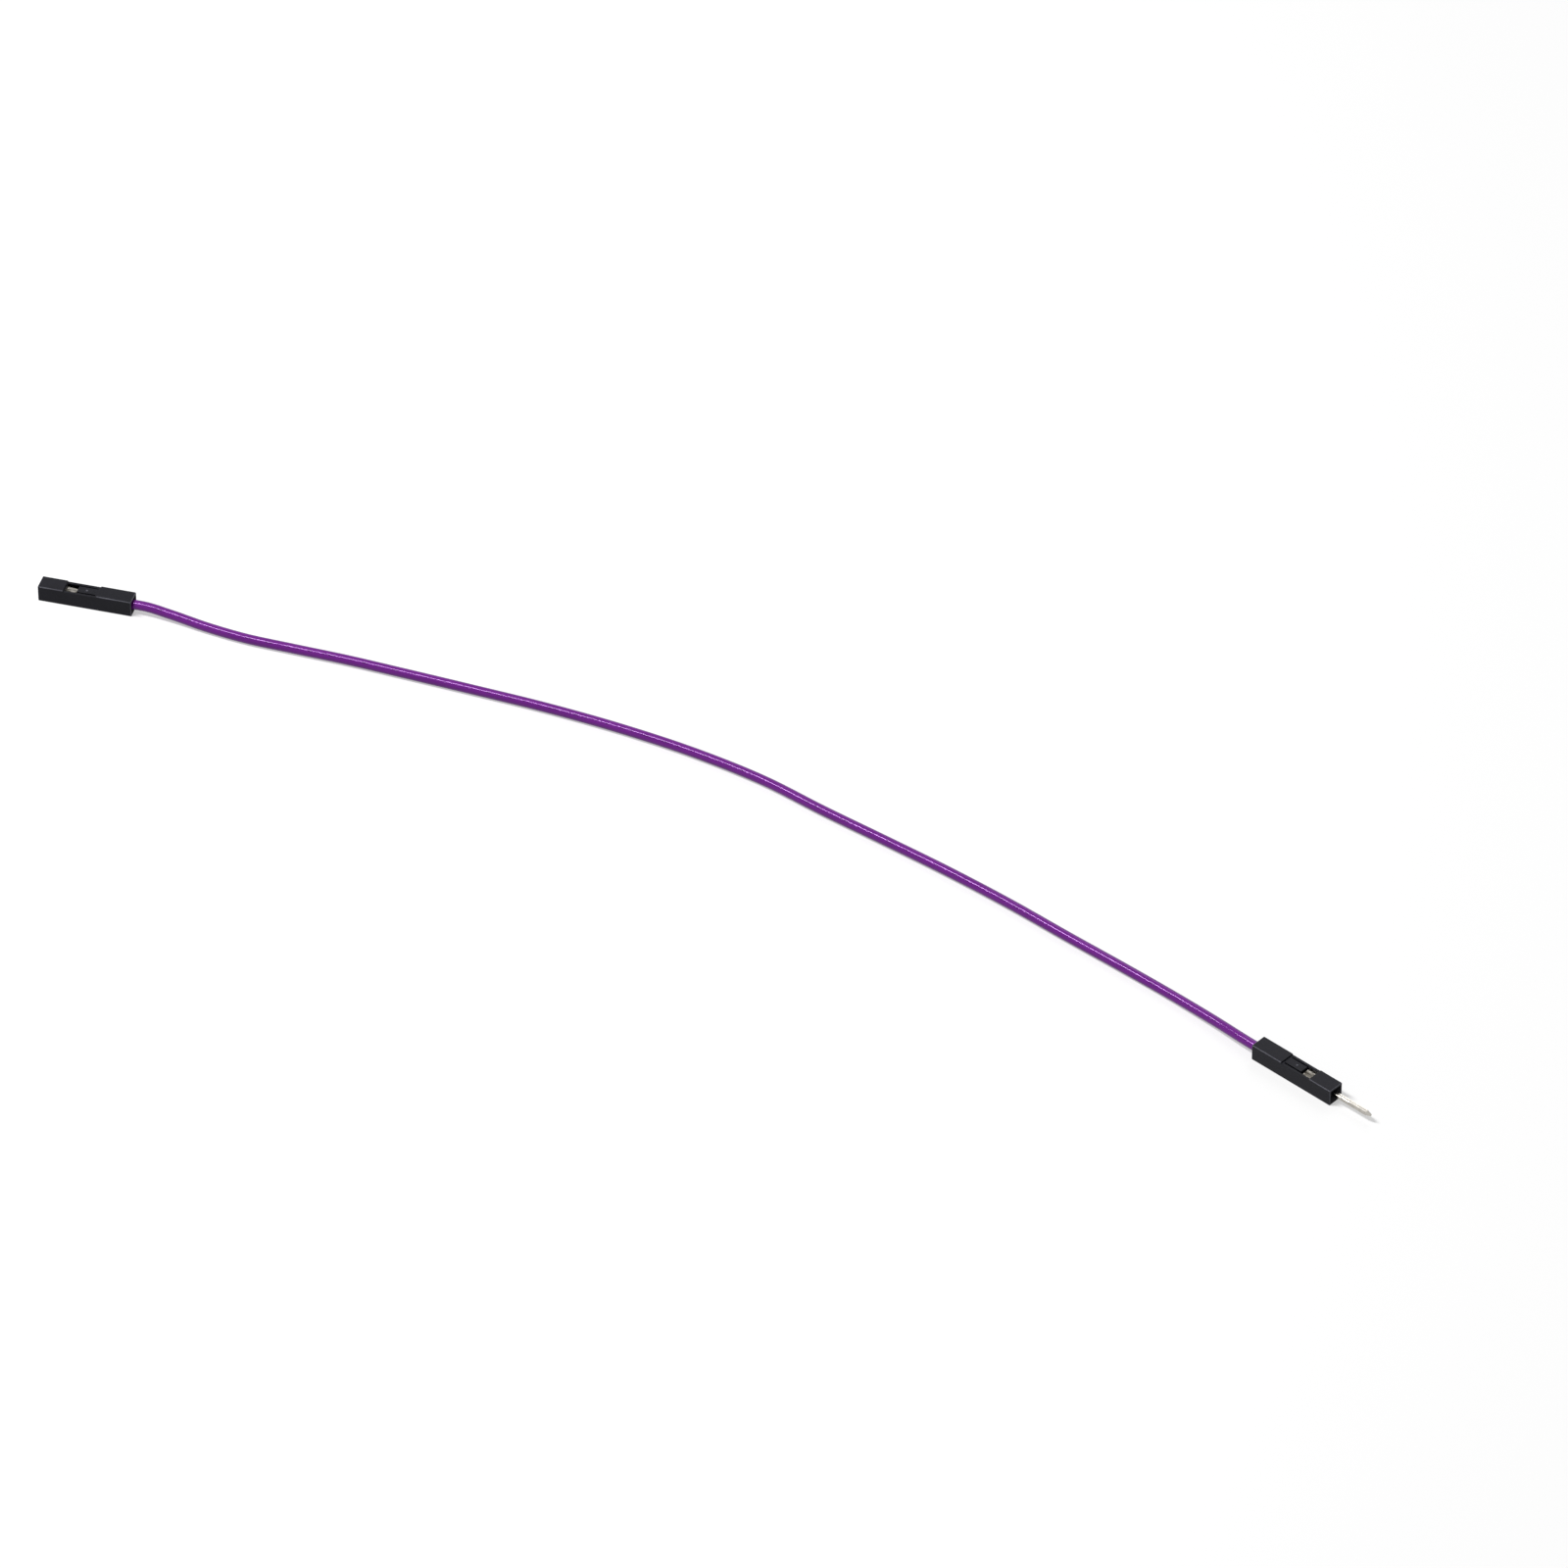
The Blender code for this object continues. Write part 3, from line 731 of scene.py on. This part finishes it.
def make_housing(name, material, node, turn, place):
    """The moulding: a square block with rounded edges, cut out for the terminal, window, tongue and mouths.

    The outer edges and the dimple are kept in a second slot of the same finish, which marks them for wear
    and for a painted highlight.
    """
    half = PITCH / 2
    tongue_face = half - LATCH_RECESS
    housing = add_box(name, (0, -half, -half), (HOUSING_LENGTH, half, half))
    for _ in ("flats", "edges"):
        housing.data.materials.append(material)
    apply_modifier(
        housing, "BEVEL", width=OUTER_RADIUS, segments=4, limit_method="ANGLE", material=EDGE_SLOT
    )
    cut_inside(housing, tongue_face)
    cut_mouths(housing)
    cut(housing, make_barb(), "UNION")
    cut(housing, make_dimple(housing, tongue_face))
    apply_modifier(
        housing, "BEVEL", width=INNER_RADIUS, segments=2, limit_method="ANGLE",
        angle_limit=math.radians(ROUNDED_ANGLE),
    )
    split_down_middle(housing)
    edges = housing.data.attributes.new("edge", "FLOAT", "FACE")
    edges.data.foreach_set("value", [float(face.material_index) for face in housing.data.polygons])
    smooth_flats(housing)
    put_in_place(housing, turn, place)
    finish_piece(housing, material, node)


# Terminals


def folded_copy(name, node):
    """A terminal's solid as one merged mesh, ready to be worked on."""
    terminal = bpy.data.objects.new(name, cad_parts[node].data.copy())
    bpy.context.scene.collection.objects.link(terminal)
    edit_faces(terminal, lambda centre, normal: True)
    bpy.ops.mesh.remove_doubles(threshold=MERGE_DISTANCE)
    bpy.ops.mesh.dissolve_limited(angle_limit=math.radians(FLAT_ANGLE))
    leave_edit()
    return terminal


def cut_pin_seam(terminal, turn, place):
    """The narrow seam where the folded sheet meets, along the top of the pin."""
    half = PIN_SEAM_WIDTH / 2
    top = PIN_THICKNESS / 2
    start = PIN_SEAM_START - PIN_REACH
    seam = add_box("seam", (start, -half, top - PIN_SEAM_DEPTH), (CAVITY_START, half, top + CUT_PAST))
    put_in_place(seam, turn, place)
    cut(terminal, seam)


def finish_terminal(terminal, material, node):
    """Rounds the cut edges and folds of the sheet."""
    apply_modifier(
        terminal, "BEVEL", width=SHEET_RADIUS, segments=2, limit_method="ANGLE",
        angle_limit=math.radians(ROUNDED_ANGLE), use_clamp_overlap=False,
    )
    smooth_flats(terminal)
    finish_piece(terminal, material, node)


# Studio


def add_softbox(name, place, size, power):
    """A rectangular lamp at a place, facing the object, with its first side level along X."""
    data = bpy.data.lights.new(name, "AREA")
    data.shape = "RECTANGLE"
    data.size, data.size_y = size
    data.energy = power
    lamp = bpy.data.objects.new(name, data)
    bpy.context.scene.collection.objects.link(lamp)
    back = (Vector(place) - Vector(LAMPS_TARGET)).normalized()
    side = (Vector((1, 0, 0)) - back.x * back).normalized()
    lamp.location = place
    lamp.rotation_euler = Matrix((side, back.cross(side), back)).transposed().to_euler()


def seen_or_mirrored(tree):
    """One where the camera or a glossy surface sees the white, and zero where it only gives light."""
    path = add_node(tree, "ShaderNodeLightPath")
    seen = add_node(
        tree, "ShaderNodeMath", {"operation": "MAXIMUM"},
        links={0: path.outputs["Is Camera Ray"], 1: path.outputs["Is Glossy Ray"]},
    )
    return seen.outputs[0]


def add_floor():
    """Matt white paper that keeps the object's shadow."""
    deselect()
    bpy.ops.mesh.primitive_plane_add(size=FLOOR_SIZE)
    floor = bpy.context.active_object
    floor.name = "floor"
    made, tree, shader = new_material(
        "white_paper", Base_Color=linear(FLOOR_COLOUR), Roughness=0.9, Specular_IOR_Level=0.0,
        Emission_Color=WHITE,
    )
    glow = add_node(
        tree, "ShaderNodeMath", {"operation": "MULTIPLY"}, {1: FLOOR_GLOW}, {0: seen_or_mirrored(tree)}
    )
    tree.links.new(glow.outputs[0], shader.inputs["Emission Strength"])
    floor.data.materials.append(made)


def add_surround():
    """A world that looks white and gives little light."""
    world = bpy.data.worlds.new("white_surround")
    world.use_nodes = True
    bpy.context.scene.world = world
    tree = world.node_tree
    tree.nodes.clear()
    strength = add_node(
        tree, "ShaderNodeMapRange", values={"To Min": SURROUND_LIGHT, "To Max": 1.0},
        links={"Value": seen_or_mirrored(tree)},
    )
    background = add_node(
        tree, "ShaderNodeBackground", values={"Color": WHITE}, links={"Strength": strength.outputs[0]}
    )
    add_node(tree, "ShaderNodeOutputWorld", links={"Surface": background.outputs[0]})


add_camera()

# Where the folded body ends and the bright pin starts, measured in the direction that the pin points
pin_start = heading(MALE_TURN) @ (*MALE_EXIT, 0) + HOUSING_LENGTH - CAVITY_START

pvc = pvc_material()
copper = metal_material("drawn_copper", COPPER_LIGHT, COPPER_DARK, COPPER_ROUGHNESS, 0)
nylon = nylon_material()
socket_tin = metal_material("tin_plated_bronze_socket", TIN_LIGHT, TIN_DARK, TIN_ROUGHNESS, FEMALE_TURN)
pin_tin = metal_material("tin_plated_bronze_pin", TIN_LIGHT, TIN_DARK, TIN_ROUGHNESS, MALE_TURN, pin_start)

jacket, jacket_line = make_jacket(pvc)
strands = make_strands(copper)

female_face = np.array([*FEMALE_EXIT, AXIS_HEIGHT]) - HOUSING_LENGTH * heading(FEMALE_TURN)
male_face = np.array([*MALE_EXIT, AXIS_HEIGHT]) + HOUSING_LENGTH * heading(MALE_TURN)
make_housing("socket_housing", nylon, "female_housing", FEMALE_TURN, female_face)
make_housing("pin_housing", nylon, "male_housing", MALE_TURN + 180, male_face)

finish_terminal(folded_copy("socket_contact", "female_terminal"), socket_tin, "female_terminal")
pin_contact = folded_copy("pin_contact", "male_terminal")
cut_pin_seam(pin_contact, MALE_TURN + 180, male_face)
finish_terminal(pin_contact, pin_tin, "male_terminal")

add_floor()
add_surround()
add_softbox("long_softbox", **LONG_SOFTBOX)
add_softbox("back_softbox", **BACK_SOFTBOX)
bpy.context.scene.view_settings.view_transform = "Standard"
